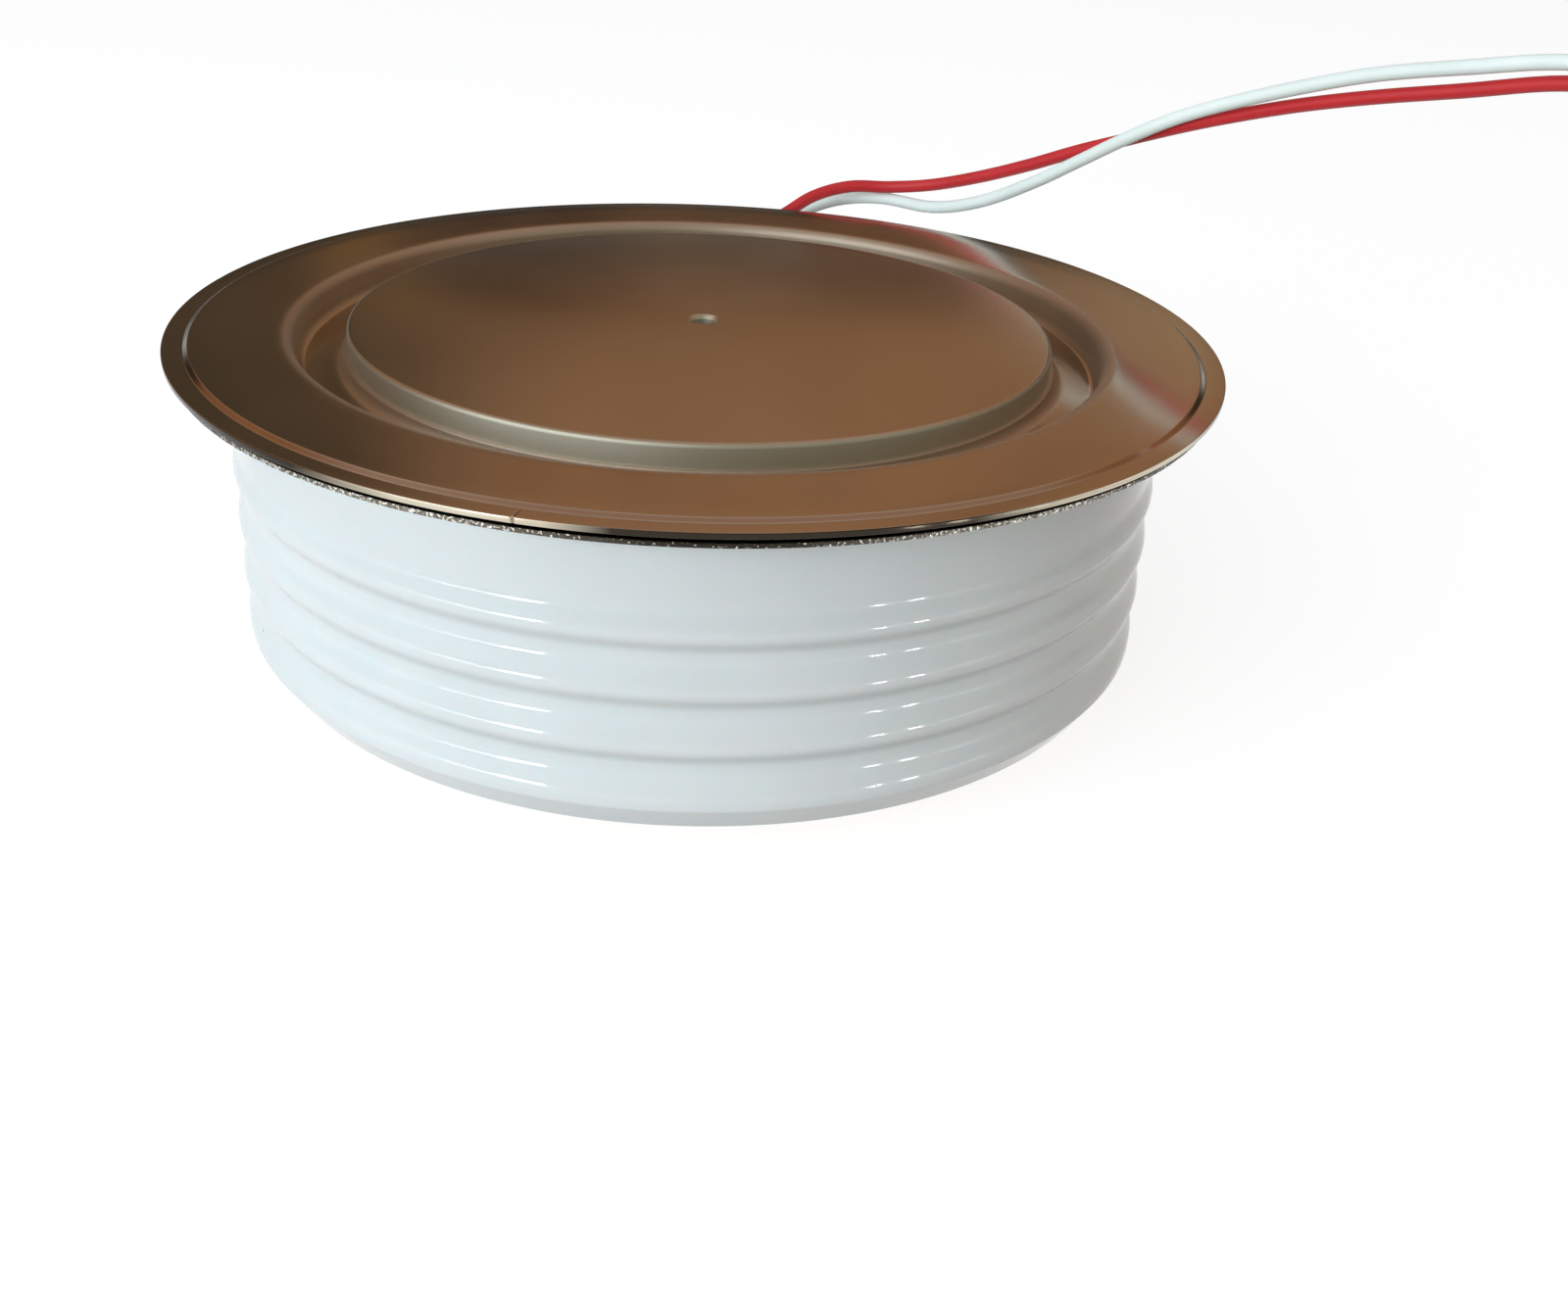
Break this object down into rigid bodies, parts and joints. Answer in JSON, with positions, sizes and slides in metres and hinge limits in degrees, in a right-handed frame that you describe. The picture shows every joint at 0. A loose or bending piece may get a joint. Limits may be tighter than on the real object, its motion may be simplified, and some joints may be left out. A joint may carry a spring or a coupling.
{
  "type": "disc thyristor",
  "caption": "Capsule thyristor: plated copper pole faces on a ribbed white ceramic ring with a wide welded flange, and white gate and red cathode leads.",
  "frame": {"origin": "middle of the anode pole face, on the surface it stands on", "axes": "+Z along the capsule axis from the anode to the cathode pole face, +Y towards the gate tube at the back"},
  "size_m": [0.1836, 0.1215, 0.065],
  "materials": {
    "plated_pole": "lapped nickel plate over copper",
    "plated_sheet": "bright nickel plate over pressed copper sheet",
    "plated_edge": "nickel plate with a rough sheared edge",
    "glazed_alumina": "white glaze with a slight blue cast",
    "molybdenum": "lapped",
    "silicon": "polished",
    "rubber_bead": "cast silicone rubber",
    "insulator": "white fluoroplastic",
    "silver_contact": "silver plate",
    "spring_steel": "drawn",
    "tinned_copper": "tin plate",
    "white_insulation": "extruded, slight gloss",
    "red_insulation": "extruded, slight gloss"
  },
  "bodies": {
    "root": {"cathode_pole_piece": "plated_pole", "anode_pole_piece": "plated_pole", "cathode_flange": "plated_sheet", "weld_ring": "plated_edge", "ceramic_ring": "glazed_alumina", "anode_flange": "plated_sheet", "anode_disc": "molybdenum", "silicon_wafer": "silicon", "cathode_disc": "molybdenum", "edge_bead": "rubber_bead", "locating_ring": "insulator", "gate_pin": "silver_contact", "gate_guide": "insulator", "gate_spring": "spring_steel", "spring_cap": "insulator", "gate_wire": "tinned_copper", "wire_sleeve": "insulator", "gate_tube": "plated_sheet", "tube_collar": "plated_sheet", "cathode_tab": "plated_sheet", "gate_lead_sleeve": "white_insulation", "cathode_lead_sleeve": "red_insulation", "gate_lead": "white_insulation", "cathode_lead": "red_insulation", "gate_terminal": "tinned_copper", "cathode_terminal": "tinned_copper"}
  },
  "joints": []
}
